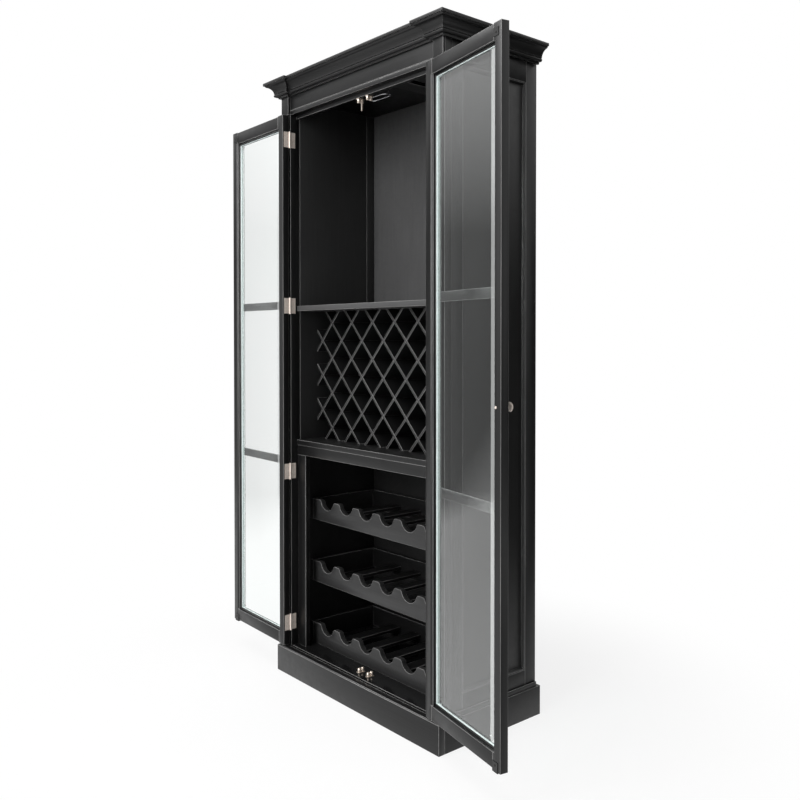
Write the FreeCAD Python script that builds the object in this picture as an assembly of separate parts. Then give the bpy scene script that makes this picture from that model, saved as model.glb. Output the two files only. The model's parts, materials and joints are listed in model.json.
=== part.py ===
import FreeCAD, Part
import math
import os

# A tall glazed bar armoire: two doors, a stemware bay, a diamond wine lattice and three bottle racks.
# Lengths are millimetres. X runs to the right, Y runs to the back, Z runs up.
# The origin is the middle of the plinth's footprint on the floor.

# Whole cabinet
cabinet_height = 2200.0
carcass_width = 890.0
carcass_depth = 410.0
board_thickness = 19.0
overrun = 20.0
edge_find_tolerance = 0.01
full_turn_deg = 360.0

# Plinth
plinth_height = 96.0
plinth_front_overhang = 30.0
plinth_back_overhang = 16.0
plinth_side_overhang = 5.0
plinth_board_thickness = 24.0
plinth_bearer_width = 60.0
plinth_edge_chamfer = 3.0
plinth_joint_gap = 0.2
sill_groove_set = 10.0
sill_groove_width = 3.0
sill_groove_depth = 1.5
base_strip_height = 16.0
base_strip_thickness = 5.0

# Front frame
post_width = 45.0
post_outer_depth = 28.0
post_inner_depth = 38.0
frieze_height = 105.0
frieze_groove_rise = 14.0
frieze_groove_height = 2.5
frieze_groove_depth = 1.5
corner_block_proud = 10.0
top_stop_drop = 12.0
top_stop_thickness = 16.0

# Crown moulding, measured down from the top and in from its outer edge
crown_height = 58.0
crown_projection = 50.0
crown_slab_height = 9.0
crown_slab_in = 5.0
crown_bead_height = 6.0
crown_bead_in = 6.0
crown_cove_height = 26.0
crown_cove_in = 19.0
crown_torus_height = 11.0
crown_torus_in = 3.0
crown_neck_in = 9.0
crown_bead_mid_share = 0.7
crown_cove_mid_share = 0.66
crown_torus_bulge = 4.0

# Sides and back
side_setback = 3.0
side_frame_thickness = 22.0
side_stile_width = 50.0
side_top_rail_height = 105.0
side_bottom_rail_height = 65.0
side_panel_thickness = 8.0
side_panel_recess = 8.0
panel_moulding_width = 11.0
panel_moulding_face = 4.0
panel_mitre_gap = 0.2
lining_groove = 3.0
back_panel_thickness = 8.0
back_panel_inset = 8.0
cover_strip_width = 38.0
cover_strip_thickness = 2.0
ceiling_drop = 70.0
ceiling_thickness = 12.0

# Shelves inside
lower_bay_height = 752.0
lattice_bay_height = 482.0
shelf_door_gap = 2.0
lattice_rail_height = 37.0
lattice_rail_set = 2.5
lower_stile_set = 1.5
lower_stile_width = 50.0
lower_stile_thickness = 16.0

# Wine lattice
lattice_front_set = 119.0
lattice_half_cell_width = 61.0
lattice_half_cell_height = 65.4
lattice_slat_thickness = 9.0
lattice_joint_clearance = 0.3
lattice_shortest_slat = 60.0

# Bottle racks
rack_front_set = 87.0
rack_pitch_z = 234.0
rack_board_height = 77.0
rack_board_thickness = 19.0
rack_side_thickness = 16.0
rack_end_flat = 33.0
rack_notch_radius = 40.0
rack_notch_depth = 33.5
rack_notch_chamfer = 5.0
rack_notch_count = 6
rack_slat_width = 50.0
rack_slat_thickness = 12.0
rack_slat_drop = 40.0

# Stemware hangers under the ceiling
stem_rail_count = 3
stem_rail_pitch_share = 0.255
stem_rail_first_share = 0.25
stem_rail_web_width = 18.0
stem_rail_web_height = 24.0
stem_slot_width = 30.0
stem_rail_flange_height = 8.0
stem_rail_front_set = 66.0
stem_rail_back_gap = 8.0
wire_radius = 2.5
wire_sides = 6
wire_loop_centre_share = 0.1175
wire_loop_front_set = 140.5
wire_loop_length = 105.0
wire_loop_bend = 17.5
wire_loop_drop = 38.0
wire_drop_inset = 4.0
wire_plate_width = 34.0
wire_plate_depth = 24.0
wire_plate_thickness = 2.0

# Doors
door_thickness = 25.0
door_bottom_gap = 8.0
door_top_gap = 3.0
door_hinge_gap = 3.0
door_centre_gap = 3.0
door_stop_gap = 1.0
door_stile_width = 45.0
door_rail_width = 55.0
door_rail_set_in = 2.5
door_lip_thickness = 6.0
door_rabbet_width = 9.0
door_chamfer_width = 7.0
door_chamfer_depth = 5.0
muntin_height = 30.0
upper_muntin_share = 0.643
lower_muntin_share = 0.349
glass_thickness = 4.0
glass_bevel_width = 25.0
glass_bevel_depth = 1.5
glass_clearance = 1.0
glass_bead_width = 7.0
glass_bead_thickness = 6.0
glass_bead_chamfer = 4.0
left_door_open_deg = 182.0
right_door_open_deg = 168.0

# Hinges, knob and catches
hinge_height = 57.0
hinge_leaf_thickness = 1.2
hinge_leaf_width = 20.0
hinge_pin_out = 4.0
hinge_barrel_radius = 3.6
hinge_pin_radius = 1.5
hinge_pin_clearance = 0.5
hinge_barrel_sides = 10
hinge_pin_sides = 6
hinge_knuckle_clearance = 0.3
hinge_tip_height = 2.0
hinge_screw_radius = 2.8
hinge_screw_sides = 6
hinge_screw_height = 0.4
hinge_screw_count = 3
frame_screw_row_share = 0.7
door_screw_row_share = 0.4
hinge_lower_end_distance = 82.0
hinge_upper_end_distance = 90.0
hinge_second_share = 0.329
hinge_third_share = 0.642
knob_share = 0.4886
knob_edge_distance = 22.0
knob_neck_radius = 5.0
knob_neck_height = 12.0
knob_head_radius = 13.0
knob_under_height = 5.0
knob_rim_height = 3.0
knob_cap_height = 4.0
knob_face_radius = 9.0
knob_screw_radius = 4.0
knob_screw_sides = 12
knob_screw_height = 2.0
catch_centre_x = 25.0
catch_width = 15.0
catch_depth = 26.0
catch_base_height = 3.0
catch_height = 16.0
catch_gap = 3.0
catch_roller_radius = 6.0
catch_roller_sides = 10
catch_roller_chamfer = 2.0
catch_lever_height = 24.0
catch_lever_thickness = 4.0
strike_width = 24.0
strike_height = 22.0
strike_thickness = 1.5
strike_screw_set = 12.0
strike_screw_radius = 3.0
strike_screw_sides = 8
strike_screw_height = 0.8
strike_lip_thickness = 3.0
strike_lip_depth = 14.0
strike_edge_gap = 3.0

# Positions that follow from the lengths above
half_width = carcass_width / 2
opening_half = half_width - post_width
plinth_depth = carcass_depth + plinth_front_overhang + plinth_back_overhang
plinth_front_y = -plinth_depth / 2
plinth_back_y = plinth_depth / 2
back_y = plinth_back_y - plinth_back_overhang
plinth_half = half_width + plinth_side_overhang
floor_z = plinth_height
carcass_top_z = cabinet_height - board_thickness
crown_lower_z = cabinet_height - crown_height
frieze_lower_z = carcass_top_z - frieze_height
ceiling_z = cabinet_height - ceiling_drop
post_face_y = plinth_front_y + plinth_front_overhang
post_outer_back_y = post_face_y + post_outer_depth
post_inner_back_y = post_face_y + post_inner_depth
door_inner_y = post_face_y + door_thickness
frieze_back_y = door_inner_y + door_stop_gap
side_outer_x = half_width - side_setback
side_inner_x = side_outer_x - side_frame_thickness
back_panel_back_y = back_y - back_panel_inset
back_panel_front_y = back_panel_back_y - back_panel_thickness
deck_lower_z = floor_z + lower_bay_height
deck_top_z = deck_lower_z + board_thickness
shelf_lower_z = deck_top_z + lattice_bay_height
shelf_top_z = shelf_lower_z + board_thickness
lattice_rail_lower_z = deck_lower_z - lattice_rail_height
shelf_front_y = door_inner_y + shelf_door_gap
lattice_rail_front_y = shelf_front_y + lattice_rail_set
lower_stile_front_y = lattice_rail_front_y + lower_stile_set
lattice_front_y = post_face_y + lattice_front_set
rack_front_y = post_face_y + rack_front_set
rack_back_y = rack_front_y + rack_board_thickness
rack_half = opening_half - rack_side_thickness
rack_notch_pitch = (rack_half - rack_end_flat) * 2 / rack_notch_count
door_lower_z = floor_z + door_bottom_gap
door_upper_z = frieze_lower_z - door_top_gap
door_height = door_upper_z - door_lower_z
door_hinge_x = opening_half - door_hinge_gap
door_free_x = door_centre_gap / 2
lip_back_y = post_face_y + door_lip_thickness
knob_z = door_lower_z + door_height * knob_share
pin_x = opening_half - door_hinge_gap / 2
pin_y = post_face_y - hinge_pin_out
hinge_centres_z = (
    door_lower_z + hinge_lower_end_distance,
    door_lower_z + door_height * hinge_second_share,
    door_lower_z + door_height * hinge_third_share,
    door_upper_z - hinge_upper_end_distance,
)
up = FreeCAD.Vector(0, 0, 1)


def box(x_low, x_high, y_low, y_high, z_low, z_high):
    corner = FreeCAD.Vector(x_low, y_low, z_low)
    return Part.makeBox(x_high - x_low, y_high - y_low, z_high - z_low, corner)


def mirrored(shape):
    middle = FreeCAD.Vector(0, 0, 0)
    return shape.mirror(middle, FreeCAD.Vector(1, 0, 0))


def pair(shape):
    return [shape, mirrored(shape)]


def cylinder(radius, length, base, direction):
    return Part.makeCylinder(radius, length, base, direction)


def ring_outline(radius, sides, centre, across, second):
    points = []
    for index in range(sides):
        angle = 2 * math.pi * index / sides
        points.append(centre + across * (radius * math.cos(angle)) + second * (radius * math.sin(angle)))
    return Part.makePolygon(points + points[:1])


# Fine rods, barrels and screw heads are drawn with a few flat sides
def flat_sided_rod(radius, sides, base, direction, length):
    depth_axis = FreeCAD.Vector(0, 1, 0)
    outline = ring_outline(radius, sides, base, direction.cross(depth_axis), depth_axis)
    return Part.Face(outline).extrude(direction * length)


def save(shapes, node):
    if not isinstance(shapes, list):
        shapes = [shapes]
    solids = []
    for shape in shapes:
        solids.extend(shape.Solids)
    result = solids[0]
    if len(solids) > 1:
        result = Part.makeCompound(solids)
    result.exportStep("parts/" + node + ".step")


def plate_prism(points, z_low, z_high):
    corners = [FreeCAD.Vector(x, y, z_low) for x, y in points]
    face = Part.Face(Part.makePolygon(corners + corners[:1]))
    return face.extrude(FreeCAD.Vector(0, 0, z_high - z_low))


# Plinth: a front board, two side boards, a back board and a bearer across the middle of the floor
def build_plinth():
    board_back_y = plinth_front_y + plinth_board_thickness
    front = box(-plinth_half, plinth_half, plinth_front_y, board_back_y, 0, plinth_height)
    rim = []
    for edge in front.Edges:
        middle = edge.CenterOfMass
        on_top = abs(middle.z - plinth_height) < edge_find_tolerance
        if on_top and middle.y < board_back_y - edge_find_tolerance:
            rim.append(edge)
    save(front.makeChamfer(plinth_edge_chamfer, rim), "plinth_front")
    inner_x = plinth_half - plinth_board_thickness
    side = box(inner_x, plinth_half, board_back_y, plinth_back_y, 0, plinth_height)
    back_front_y = plinth_back_y - plinth_board_thickness
    back_half = inner_x - plinth_joint_gap
    back = box(-back_half, back_half, back_front_y, plinth_back_y, 0, plinth_height - board_thickness)
    save(pair(side) + [back], "plinth_returns")
    half = plinth_bearer_width / 2
    bearer = box(-half, half, board_back_y, back_front_y, 0, plinth_height - board_thickness)
    save(bearer, "plinth_bearer")
    bottom = box(-inner_x, inner_x, board_back_y, plinth_back_y, floor_z - board_thickness, floor_z)
    groove_y = board_back_y + sill_groove_set
    groove_end_y = groove_y + sill_groove_width
    groove_z = floor_z - sill_groove_depth
    groove = box(-opening_half, opening_half, groove_y, groove_end_y, groove_z, floor_z + overrun)
    save(bottom.cut(groove), "bottom_board")


# Front frame: posts, frieze with a groove along its lower edge, corner blocks and a stop for the doors
def build_front_frame():
    post = box(opening_half, half_width, post_face_y, post_outer_back_y, floor_z, carcass_top_z)
    tongue = box(opening_half, side_inner_x, post_outer_back_y, post_inner_back_y, floor_z, carcass_top_z)
    post = post.fuse(tongue).removeSplitter()
    save(post, "right_post")
    save(mirrored(post), "left_post")
    frieze = box(-opening_half, opening_half, post_face_y, frieze_back_y, frieze_lower_z, carcass_top_z)
    groove_low_z = frieze_lower_z + frieze_groove_rise
    groove_high_z = groove_low_z + frieze_groove_height
    groove_y = post_face_y + frieze_groove_depth
    groove = box(-opening_half, opening_half, post_face_y - overrun, groove_y, groove_low_z, groove_high_z)
    save(frieze.cut(groove), "frieze")
    block_face_y = post_face_y - corner_block_proud
    block = box(opening_half, half_width, block_face_y, post_face_y, frieze_lower_z, cabinet_height)
    save(pair(block), "corner_blocks")
    stop_back_y = frieze_back_y + top_stop_thickness
    stop_low_z = frieze_lower_z - top_stop_drop
    save(box(-opening_half, opening_half, frieze_back_y, stop_back_y, stop_low_z, ceiling_z), "top_stop")


# Crown: one moulding profile along the front, broken forward over the posts and returned on both sides
def crown_profile():
    slab_d = crown_projection
    bead_d = slab_d - crown_slab_in
    cove_d = bead_d - crown_bead_in
    torus_d = cove_d - crown_cove_in
    neck_d = torus_d - crown_torus_in - crown_neck_in
    slab_z = cabinet_height - crown_slab_height
    bead_z = slab_z - crown_bead_height
    cove_z = bead_z - crown_cove_height
    torus_z = cove_z - crown_torus_height
    bead_mid_d = cove_d + crown_bead_in * crown_bead_mid_share
    bead_mid_z = bead_z + crown_bead_height * (1 - crown_bead_mid_share)
    cove_mid_d = cove_d - crown_cove_in * crown_cove_mid_share
    cove_mid_z = bead_z - crown_cove_height * (1 - crown_cove_mid_share)
    hollow = torus_d - crown_torus_in
    torus_mid = (hollow + crown_torus_bulge, (cove_z + torus_z) / 2)
    steps = [
        ("line", (0, cabinet_height), (slab_d, cabinet_height), None),
        ("line", (slab_d, cabinet_height), (slab_d, slab_z), None),
        ("line", (slab_d, slab_z), (bead_d, slab_z), None),
        ("arc", (bead_d, slab_z), (cove_d, bead_z), (bead_mid_d, bead_mid_z)),
        ("arc", (cove_d, bead_z), (torus_d, cove_z), (cove_mid_d, cove_mid_z)),
        ("line", (torus_d, cove_z), (hollow, cove_z), None),
        ("arc", (hollow, cove_z), (hollow, torus_z), torus_mid),
        ("line", (hollow, torus_z), (neck_d, torus_z), None),
        ("line", (neck_d, torus_z), (neck_d, crown_lower_z), None),
        ("line", (neck_d, crown_lower_z), (0, crown_lower_z), None),
        ("line", (0, crown_lower_z), (0, cabinet_height), None),
    ]
    return steps


def crown_run(face_point, outward, along, length):
    def place(point):
        distance, height = point
        spot = face_point + outward * distance
        return FreeCAD.Vector(spot.x, spot.y, height)

    edges = []
    for kind, start, end, middle in crown_profile():
        if kind == "arc":
            edges.append(Part.Arc(place(start), place(middle), place(end)).toShape())
        else:
            edges.append(Part.makeLine(place(start), place(end)))
    face = Part.Face(Part.Wire(edges))
    return face.extrude(along * length)


def build_crown():
    forward = FreeCAD.Vector(0, -1, 0)
    right = FreeCAD.Vector(1, 0, 0)
    reach = crown_projection + overrun
    block_y = post_face_y - corner_block_proud
    z_low = crown_lower_z - overrun
    z_high = cabinet_height + overrun
    span = half_width + reach

    middle = crown_run(FreeCAD.Vector(-span, post_face_y, 0), forward, right, span + span)
    plan = [(-opening_half, post_face_y), (opening_half, post_face_y)]
    plan += [(opening_half - reach, post_face_y - reach), (reach - opening_half, post_face_y - reach)]
    save(middle.common(plate_prism(plan, z_low, z_high)), "crown_front")

    front = crown_run(FreeCAD.Vector(0, block_y, 0), forward, right, span)
    plan = [(opening_half, block_y), (half_width, block_y)]
    plan += [(half_width + reach, block_y - reach), (opening_half - reach, block_y - reach)]
    front = front.common(plate_prism(plan, z_low, z_high))

    start = FreeCAD.Vector(half_width, block_y - reach, 0)
    side = crown_run(start, right, FreeCAD.Vector(0, 1, 0), back_y - start.y)
    plan = [(half_width, block_y), (half_width + reach, block_y - reach)]
    plan += [(half_width + reach, back_y), (half_width, back_y)]
    side = side.common(plate_prism(plan, z_low, z_high))

    start = FreeCAD.Vector(opening_half, block_y - reach, 0)
    inner = crown_run(start, FreeCAD.Vector(-1, 0, 0), FreeCAD.Vector(0, 1, 0), post_face_y - start.y)
    plan = [(opening_half, block_y), (opening_half, post_face_y)]
    plan += [(opening_half - reach, post_face_y - reach), (opening_half - reach, block_y - reach)]
    inner = inner.common(plate_prism(plan, z_low, z_high))

    corner = front.fuse([side, inner]).removeSplitter()
    save(corner, "crown_right")
    save(mirrored(corner), "crown_left")


# Top, ceiling, sides and back
def side_frame_pieces():
    front_y = post_outer_back_y
    rail_front_y = front_y + side_stile_width
    rail_back_y = back_y - side_stile_width
    top_rail_z = carcass_top_z - side_top_rail_height
    bottom_rail_z = floor_z + side_bottom_rail_height
    stile_front = box(side_inner_x, side_outer_x, front_y, rail_front_y, floor_z, carcass_top_z)
    stile_back = box(side_inner_x, side_outer_x, rail_back_y, back_y, floor_z, carcass_top_z)
    rail_top = box(side_inner_x, side_outer_x, rail_front_y, rail_back_y, top_rail_z, carcass_top_z)
    rail_bottom = box(side_inner_x, side_outer_x, rail_front_y, rail_back_y, floor_z, bottom_rail_z)
    return [stile_front, stile_back, rail_top, rail_bottom]


def side_panel_pieces():
    low_y = post_outer_back_y + side_stile_width
    high_y = back_y - side_stile_width
    low_z = floor_z + side_bottom_rail_height
    high_z = carcass_top_z - side_top_rail_height
    panel_face_x = side_outer_x - side_panel_recess
    panel = box(panel_face_x - side_panel_thickness, panel_face_x, low_y, high_y, low_z, high_z)

    def corners(x, inset):
        return [
            FreeCAD.Vector(x, low_y + inset, low_z + inset),
            FreeCAD.Vector(x, high_y - inset, low_z + inset),
            FreeCAD.Vector(x, high_y - inset, high_z - inset),
            FreeCAD.Vector(x, low_y + inset, high_z - inset),
        ]

    strips = []
    for index in range(4):
        after = (index + 1) % 4
        outlines = []
        for x, width in ((panel_face_x, panel_moulding_width), (side_outer_x, panel_moulding_face)):
            outer = corners(x, 0)
            inner = corners(x, width)
            trim = FreeCAD.Vector(outer[after] - outer[index]).normalize() * panel_mitre_gap
            outline = [outer[index] + trim, outer[after] - trim, inner[after] - trim, inner[index] + trim]
            outlines.append(Part.makePolygon(outline + outline[:1]))
        strips.append(Part.makeLoft(outlines, True, True))
    return panel, strips


def build_case():
    save(box(-half_width, half_width, post_face_y, back_y, carcass_top_z, cabinet_height), "top_board")
    ceiling_top_z = ceiling_z + ceiling_thickness
    ceiling = box(-opening_half, opening_half, frieze_back_y, back_panel_front_y, ceiling_z, ceiling_top_z)
    save(ceiling, "ceiling_board")
    frame = side_frame_pieces()
    save(frame, "right_side_frame")
    save([mirrored(piece) for piece in frame], "left_side_frame")
    panel, strips = side_panel_pieces()
    save(panel, "right_side_panel")
    save(mirrored(panel), "left_side_panel")
    save(strips + [mirrored(strip) for strip in strips], "panel_mouldings")
    lining_front_y = post_inner_back_y + lining_groove
    lining = box(opening_half, side_inner_x, lining_front_y, back_panel_front_y, floor_z, carcass_top_z)
    save(pair(lining), "side_linings")
    cover_front_y = back_panel_front_y - cover_strip_width
    cover_x = opening_half - cover_strip_thickness
    cover = box(cover_x, opening_half, cover_front_y, back_panel_front_y, shelf_top_z, ceiling_z)
    save(pair(cover), "corner_cover_strips")
    back = box(-side_inner_x, side_inner_x, back_panel_front_y, back_panel_back_y, floor_z, carcass_top_z)
    save(back, "back_panel")
    strip_x = side_outer_x + base_strip_thickness
    strip = box(side_outer_x, strip_x, post_outer_back_y, back_y, floor_z, floor_z + base_strip_height)
    save(pair(strip), "side_base_strips")


# Shelf over the lattice, deck under it, the rail below the deck and the stiles of the lower bay
def build_shelves():
    shelf = box(-opening_half, opening_half, shelf_front_y, back_panel_front_y, shelf_lower_z, shelf_top_z)
    save(shelf, "middle_shelf")
    deck = box(-opening_half, opening_half, shelf_front_y, back_panel_front_y, deck_lower_z, deck_top_z)
    save(deck, "lattice_deck")
    front_y = lattice_rail_front_y
    rail_back_y = front_y + board_thickness
    rail = box(-opening_half, opening_half, front_y, rail_back_y, lattice_rail_lower_z, deck_lower_z)
    save(rail, "lattice_rail")
    inner_x = opening_half - lower_stile_width
    stile_back_y = lower_stile_front_y + lower_stile_thickness
    stile = box(inner_x, opening_half, lower_stile_front_y, stile_back_y, floor_z, lattice_rail_lower_z)
    save(pair(stile), "lower_stiles")


# Lattice: two sets of slanting slats, halved into each other where they cross
def lattice_slats():
    low_z = deck_top_z
    high_z = shelf_lower_z
    middle_z = (low_z + high_z) / 2
    slope = lattice_half_cell_height / lattice_half_cell_width
    angle = math.atan2(lattice_half_cell_height, lattice_half_cell_width)
    half_height = (high_z - low_z) / 2
    thickness_along_x = lattice_slat_thickness / math.sin(angle)
    slot_half = (thickness_along_x + lattice_joint_clearance) / 2
    bay = box(-opening_half, opening_half, lattice_front_y, back_panel_front_y, low_z, high_z)
    middle_y = (lattice_front_y + back_panel_front_y) / 2
    reach = half_height + overrun

    def slanted(at_x, half_thickness, y_low, y_high, lean):
        run = lean * reach / slope
        corners = [
            FreeCAD.Vector(at_x - run - half_thickness, y_low, middle_z - reach),
            FreeCAD.Vector(at_x - run + half_thickness, y_low, middle_z - reach),
            FreeCAD.Vector(at_x + run + half_thickness, y_low, middle_z + reach),
            FreeCAD.Vector(at_x + run - half_thickness, y_low, middle_z + reach),
        ]
        face = Part.Face(Part.makePolygon(corners + corners[:1]))
        return face.extrude(FreeCAD.Vector(0, y_high - y_low, 0))

    columns = int((opening_half + half_height / slope) / (2 * lattice_half_cell_width))
    places = []
    boards = []
    for step in range(-columns, columns + 1):
        place = 2 * lattice_half_cell_width * step
        board = slanted(place, thickness_along_x / 2, lattice_front_y, back_panel_front_y, 1).common(bay)
        if board.BoundBox.ZLength > lattice_shortest_slat:
            places.append(place)
            boards.append(board)
    front_cuts = [slanted(place, slot_half, lattice_front_y - overrun, middle_y, -1) for place in places]
    rear_cuts = [slanted(place, slot_half, middle_y, back_panel_front_y + overrun, 1) for place in places]
    rising = [board.cut(front_cuts) for board in boards]
    falling = []
    for place in places:
        board = slanted(place, thickness_along_x / 2, lattice_front_y, back_panel_front_y, -1).common(bay)
        falling.append(board.cut(rear_cuts))
    return rising, falling


def build_lattice():
    rising, falling = lattice_slats()
    save(rising, "lattice_rising_slats")
    save(falling, "lattice_falling_slats")


# Bottle racks: a scalloped front board, two side boards, a rear board and slats from front to back
def rack_front(low_z):
    shoulder_z = low_z + rack_board_height
    board = box(-rack_half, rack_half, rack_front_y, rack_back_y, low_z, shoulder_z)
    centre_z = shoulder_z - rack_notch_depth + rack_notch_radius
    reach = rack_board_thickness + overrun + overrun
    for notch in range(rack_notch_count):
        centre_x = (notch - (rack_notch_count - 1) / 2) * rack_notch_pitch
        base = FreeCAD.Vector(centre_x, rack_front_y - overrun, centre_z)
        board = board.cut(cylinder(rack_notch_radius, reach, base, FreeCAD.Vector(0, 1, 0)))
    corners = []
    for edge in board.Edges:
        middle = edge.CenterOfMass
        on_top = abs(middle.z - shoulder_z) < edge_find_tolerance
        across = abs(edge.BoundBox.YLength - rack_board_thickness) < edge_find_tolerance
        if on_top and across and abs(middle.x) < rack_half - edge_find_tolerance:
            corners.append(edge)
    return board.makeChamfer(rack_notch_chamfer, corners)


def build_racks():
    boxes = []
    slats = []
    rear_front_y = back_panel_front_y - rack_board_thickness
    for step, level in enumerate(("lower", "middle", "upper")):
        low_z = floor_z + rack_pitch_z * step
        high_z = low_z + rack_board_height
        save(rack_front(low_z), level + "_rack_front")
        side = box(rack_half, opening_half, rack_front_y, back_panel_front_y, low_z, high_z)
        boxes += pair(side)
        boxes.append(box(-rack_half, rack_half, rear_front_y, back_panel_front_y, low_z, high_z))
        slat_high_z = high_z - rack_slat_drop
        slat_low_z = slat_high_z - rack_slat_thickness
        for gap in range(rack_notch_count - 1):
            centre_x = (gap - (rack_notch_count - 2) / 2) * rack_notch_pitch
            low_x = centre_x - rack_slat_width / 2
            high_x = centre_x + rack_slat_width / 2
            slats.append(box(low_x, high_x, rack_back_y, rear_front_y, slat_low_z, slat_high_z))
    save(boxes, "rack_boxes")
    save(slats, "rack_slats")


# Hangers under the ceiling: wooden rails for stemmed glasses on the right, one wire loop near the middle
def build_stemware():
    front_y = post_face_y + stem_rail_front_set
    tail_y = back_panel_front_y - stem_rail_back_gap
    web_low_z = ceiling_z - stem_rail_web_height
    flange_low_z = web_low_z - stem_rail_flange_height
    rails = []
    for step in range(stem_rail_count):
        centre_x = opening_half * (stem_rail_first_share + stem_rail_pitch_share * step)
        web_half = stem_rail_web_width / 2
        flange_half = (opening_half * stem_rail_pitch_share - stem_slot_width) / 2
        web = box(centre_x - web_half, centre_x + web_half, front_y, tail_y, web_low_z, ceiling_z)
        low_x = centre_x - flange_half
        high_x = centre_x + flange_half
        flange = box(low_x, high_x, front_y, tail_y, flange_low_z, web_low_z)
        rails.append(web.fuse(flange).removeSplitter())
    save(rails, "stemware_rails")

    rod_z = ceiling_z - wire_loop_drop
    centre_x = -opening_half * wire_loop_centre_share
    centre_y = post_face_y + wire_loop_front_set
    straight_half = wire_loop_length / 2 - wire_loop_bend
    low_x = centre_x - straight_half
    high_x = centre_x + straight_half
    near_y = centre_y - wire_loop_bend
    far_y = centre_y + wire_loop_bend
    near_left = FreeCAD.Vector(low_x, near_y, rod_z)
    near_right = FreeCAD.Vector(high_x, near_y, rod_z)
    far_right = FreeCAD.Vector(high_x, far_y, rod_z)
    far_left = FreeCAD.Vector(low_x, far_y, rod_z)
    right_end = FreeCAD.Vector(high_x + wire_loop_bend, centre_y, rod_z)
    left_end = FreeCAD.Vector(low_x - wire_loop_bend, centre_y, rod_z)
    path = Part.Wire([
        Part.makeLine(near_left, near_right),
        Part.Arc(near_right, right_end, far_right).toShape(),
        Part.makeLine(far_right, far_left),
        Part.Arc(far_left, left_end, near_left).toShape(),
    ])
    section = ring_outline(wire_radius, wire_sides, near_left, FreeCAD.Vector(0, 1, 0), up)
    loop = path.makePipeShell([section], True, False)
    drop_x = high_x - wire_drop_inset
    drop_base = FreeCAD.Vector(drop_x, far_y, rod_z)
    drop = flat_sided_rod(wire_radius, wire_sides, drop_base, up, wire_loop_drop)
    plate_x = drop_x - wire_plate_width / 2
    plate_y = far_y - wire_plate_depth / 2
    plate = box(
        plate_x,
        plate_x + wire_plate_width,
        plate_y,
        plate_y + wire_plate_depth,
        ceiling_z - wire_plate_thickness,
        ceiling_z,
    )
    save(loop.fuse([drop, plate]), "wire_rack")


# Hinges: three knuckles on a pin, the outer two on the post's leaf and the middle one on the door's leaf
def knuckle_span(low_z, index):
    pitch = hinge_height / 3
    return low_z + pitch * index, low_z + pitch * (index + 1)


def hinge_leaf(centre_z, leaf_low_x, leaf_high_x, own):
    low_z = centre_z - hinge_height / 2
    leaf_back_y = post_face_y + hinge_leaf_width
    leaf = box(leaf_low_x, leaf_high_x, post_face_y, leaf_back_y, low_z, low_z + hinge_height)
    for index in own:
        start_z, end_z = knuckle_span(low_z, index)
        if index == 1:
            start_z += hinge_knuckle_clearance
            end_z -= hinge_knuckle_clearance
        base = FreeCAD.Vector(pin_x, pin_y, start_z)
        barrel = flat_sided_rod(hinge_barrel_radius, hinge_barrel_sides, base, up, end_z - start_z)
        web = box(leaf_low_x, leaf_high_x, pin_y, post_face_y, start_z, end_z)
        leaf = leaf.fuse([barrel, web])
    bore_radius = hinge_pin_radius + hinge_pin_clearance
    bore_base = FreeCAD.Vector(pin_x, pin_y, low_z - overrun)
    bore = flat_sided_rod(bore_radius, hinge_pin_sides, bore_base, up, hinge_height + overrun + overrun)
    return leaf.cut(bore).removeSplitter()


def hinge_screws(centre_z, seat_x, direction, row_share):
    pitch = hinge_height / hinge_screw_count
    low_z = centre_z - hinge_height / 2
    row_y = post_face_y + hinge_leaf_width * row_share
    screws = []
    for index in range(hinge_screw_count):
        base = FreeCAD.Vector(seat_x, row_y, low_z + pitch * (index + 1 / 2))
        head = flat_sided_rod(hinge_screw_radius, hinge_screw_sides, base, direction, hinge_screw_height)
        screws.append(head)
    return screws


def hinge_pin(centre_z):
    low_z = centre_z - hinge_height / 2
    foot = FreeCAD.Vector(pin_x, pin_y, low_z - hinge_tip_height)
    bottom = FreeCAD.Vector(pin_x, pin_y, low_z)
    head = FreeCAD.Vector(pin_x, pin_y, low_z + hinge_height)
    shank = flat_sided_rod(hinge_pin_radius, hinge_pin_sides, bottom, up, hinge_height)
    lower_tip = flat_sided_rod(hinge_barrel_radius, hinge_barrel_sides, foot, up, hinge_tip_height)
    upper_tip = flat_sided_rod(hinge_barrel_radius, hinge_barrel_sides, head, up, hinge_tip_height)
    return shank.fuse([lower_tip, upper_tip])


def build_frame_hinges():
    leaf_low_x = opening_half - hinge_leaf_thickness
    leaves = []
    pins = []
    screws = []
    for centre_z in hinge_centres_z:
        leaves += pair(hinge_leaf(centre_z, leaf_low_x, opening_half, (0, 2)))
        pins += pair(hinge_pin(centre_z))
        for screw in hinge_screws(centre_z, leaf_low_x, FreeCAD.Vector(-1, 0, 0), frame_screw_row_share):
            screws += pair(screw)
    save(leaves, "frame_hinge_leaves")
    save(pins, "hinge_pins")
    save(screws, "frame_hinge_screws")


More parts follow.
